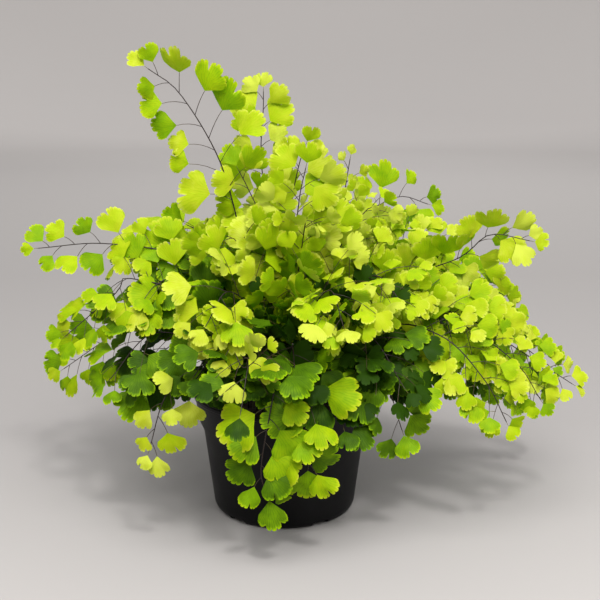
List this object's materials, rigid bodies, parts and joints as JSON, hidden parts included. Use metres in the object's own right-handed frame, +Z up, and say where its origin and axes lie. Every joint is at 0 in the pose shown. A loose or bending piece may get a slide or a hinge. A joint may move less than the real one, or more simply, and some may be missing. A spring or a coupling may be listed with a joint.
{
  "type": "potted maidenhair fern",
  "caption": "Potted maidenhair fern: wiry arching fronds of small lobed fan-shaped leaflets spreading over a tapered round nursery pot filled with soil.",
  "frame": {"origin": "centre of the pot's underside, on the pot's axis", "axes": "+Z up along the pot's axis; -Y is the side that faces the viewer; +X is the viewer's right, along the plant's longest spread"},
  "size_m": [0.3669, 0.2773, 0.3042],
  "materials": {
    "pot": "satin black moulded plastic",
    "soil": "loose dark peat and bark",
    "leaf": "thin fresh leaf, soft sheen, lets light through",
    "stem": "dark wiry polished stalk"
  },
  "bodies": {
    "root": {"pot": "pot", "soil": "soil", "frond_tall_left": "leaf", "frond_bright_top": "leaf", "frond_top_right": "leaf", "frond_top_left": "leaf", "frond_top_middle": "leaf", "frond_thin_upright": "leaf", "frond_back_right": "leaf", "frond_right_high": "leaf", "frond_right_middle": "leaf", "frond_right_inner": "leaf", "frond_right_low_far": "leaf", "frond_right_low_front": "leaf", "frond_right_low_mid": "leaf", "frond_right_low_back": "leaf", "frond_right_under": "leaf", "frond_right_outer": "leaf", "frond_right_hanging": "leaf", "frond_left_long": "leaf", "frond_left_middle": "leaf", "frond_left_low_back": "leaf", "frond_lower_left": "leaf", "frond_front_arc": "leaf", "frond_front_hanging": "leaf", "frond_front_hanging_right": "leaf", "frond_front_low": "leaf", "frond_front_low_left": "leaf", "frond_front_inner": "leaf", "frond_front_inner_left": "leaf", "frond_front_inner_right": "leaf", "frond_upper_1": "leaf", "frond_upper_2": "leaf", "frond_upper_3": "leaf", "frond_upper_4": "leaf", "frond_upper_5": "leaf", "frond_upper_6": "leaf", "frond_middle_1": "leaf", "frond_middle_2": "leaf", "frond_middle_3": "leaf", "frond_middle_4": "leaf", "frond_middle_5": "leaf", "frond_middle_6": "leaf", "frond_middle_7": "leaf", "frond_middle_8": "leaf", "frond_lower_1": "leaf", "frond_lower_2": "leaf", "frond_lower_3": "leaf", "frond_lower_4": "leaf", "frond_lower_5": "leaf", "frond_lower_6": "leaf", "frond_lower_7": "leaf", "frond_skirt_1": "leaf", "frond_skirt_2": "leaf", "frond_skirt_3": "leaf", "frond_skirt_4": "leaf", "frond_skirt_5": "leaf", "frond_skirt_6": "leaf", "frond_skirt_7": "leaf"}
  },
  "joints": []
}
